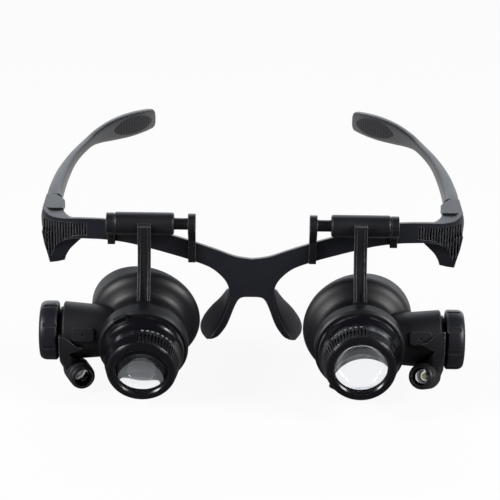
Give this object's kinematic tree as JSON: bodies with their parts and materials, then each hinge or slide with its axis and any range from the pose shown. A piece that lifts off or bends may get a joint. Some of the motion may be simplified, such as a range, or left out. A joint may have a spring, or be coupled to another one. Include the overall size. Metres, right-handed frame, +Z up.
{
  "type": "head loupe",
  "caption": "Spectacle frame carrying two flip-up magnifier loupes, each with a battery tube, a screw cap and a small tilting lamp.",
  "frame": {"origin": "middle of the underside of the nose arch, where the spectacles rest on the nose", "axes": "+X to the viewer's right when seen from the front, +Y from the front back along the temples, +Z up"},
  "size_m": [0.155, 0.1769, 0.0625],
  "materials": {
    "frame_plastic": "satin black",
    "arm_plastic": "satin charcoal",
    "pad_rubber": "soft matt",
    "loupe_plastic": "semi-gloss black",
    "bright_steel": "plated",
    "tick_paint": "pale paint on raised marks",
    "lens_glass": "clear polished",
    "lamp_glass": "clear epoxy dome"
  },
  "bodies": {
    "front": {"front_frame": "frame_plastic", "nose_pad_left": "pad_rubber", "nose_pad_right": "pad_rubber", "hinge_block_left": "arm_plastic", "hinge_block_right": "arm_plastic", "hinge_screw_left": "bright_steel", "hinge_screw_right": "bright_steel", "clip_outer_left": "loupe_plastic", "clip_outer_right": "loupe_plastic", "clip_inner_left": "loupe_plastic", "clip_inner_right": "loupe_plastic"},
    "temple_left": {"temple_left": "arm_plastic", "temple_pad_left": "pad_rubber"},
    "rod_left": {"rail_rod_left": "loupe_plastic"},
    "loupe_left": {"hanger_left": "loupe_plastic", "eyecup_left": "loupe_plastic", "battery_tube_left": "loupe_plastic", "cells_left": "bright_steel", "contact_spring_left": "bright_steel"},
    "barrel_left": {"lens_barrel_left": "loupe_plastic", "barrel_ticks_left": "tick_paint", "lens_left": "lens_glass", "lens_ring_left": "loupe_plastic"},
    "cap_left": {"battery_cap_left": "loupe_plastic"},
    "lamp_left": {"lamp_arm_left": "loupe_plastic", "lamp_cover_left": "loupe_plastic", "lamp_bezel_left": "loupe_plastic", "led_left": "lamp_glass"},
    "temple_right": {"temple_right": "arm_plastic", "temple_pad_right": "pad_rubber"},
    "rod_right": {"rail_rod_right": "loupe_plastic"},
    "loupe_right": {"hanger_right": "loupe_plastic", "eyecup_right": "loupe_plastic", "battery_tube_right": "loupe_plastic", "cells_right": "bright_steel", "contact_spring_right": "bright_steel"},
    "barrel_right": {"lens_barrel_right": "loupe_plastic", "barrel_ticks_right": "tick_paint", "lens_right": "lens_glass", "lens_ring_right": "loupe_plastic"},
    "cap_right": {"battery_cap_right": "loupe_plastic"},
    "lamp_right": {"lamp_arm_right": "loupe_plastic", "lamp_cover_right": "loupe_plastic", "lamp_bezel_right": "loupe_plastic", "led_right": "lamp_glass"}
  },
  "joints": [
    {"name": "temple_fold_left", "type": "hinge", "parent": "front", "child": "temple_left", "pos_m": [-0.0727, 0.0182, 0.0235], "axis": [0, 0, -1], "range_deg": [0, 78]},
    {"name": "loupe_flip_left", "type": "hinge", "parent": "front", "child": "rod_left", "pos_m": [-0.03875, -0.0038, 0.0305], "axis": [-1, 0, 0], "range_deg": [-5, 95]},
    {"name": "loupe_slide_left", "type": "slide", "parent": "rod_left", "child": "loupe_left", "axis": [1, 0, 0], "range_m": [0, 0.0046]},
    {"name": "barrel_turn_left", "type": "hinge", "parent": "loupe_left", "child": "barrel_left", "pos_m": [-0.03875, -0.03742, -0.01188], "axis": [0, -0.9936, -0.1132], "range_deg": [-30, 60]},
    {"name": "cap_turn_left", "type": "hinge", "parent": "loupe_left", "child": "cap_left", "pos_m": [-0.06795, -0.01238, -0.00903], "axis": [-1, 0, 0], "range_deg": [0, 90]},
    {"name": "lamp_tilt_left", "type": "hinge", "parent": "loupe_left", "child": "lamp_left", "pos_m": [-0.06795, -0.01238, -0.00903], "axis": [-1, 0, 0], "range_deg": [-25, 35]},
    {"name": "temple_fold_right", "type": "hinge", "parent": "front", "child": "temple_right", "pos_m": [0.0727, 0.0182, 0.0235], "axis": [0, 0, 1], "range_deg": [0, 56]},
    {"name": "loupe_flip_right", "type": "hinge", "parent": "front", "child": "rod_right", "pos_m": [0.03875, -0.0038, 0.0305], "axis": [-1, 0, 0], "range_deg": [-5, 95]},
    {"name": "loupe_slide_right", "type": "slide", "parent": "rod_right", "child": "loupe_right", "axis": [-1, 0, 0], "range_m": [0, 0.0046]},
    {"name": "barrel_turn_right", "type": "hinge", "parent": "loupe_right", "child": "barrel_right", "pos_m": [0.03875, -0.04395, -0.00575], "axis": [0, -0.9986, 0.0523], "range_deg": [-30, 60]},
    {"name": "cap_turn_right", "type": "hinge", "parent": "loupe_right", "child": "cap_right", "pos_m": [0.06795, -0.01879, -0.00707], "axis": [1, 0, 0], "range_deg": [0, 90]},
    {"name": "lamp_tilt_right", "type": "hinge", "parent": "loupe_right", "child": "lamp_right", "pos_m": [0.06795, -0.01879, -0.00707], "axis": [-1, 0, 0], "range_deg": [-25, 35]}
  ]
}
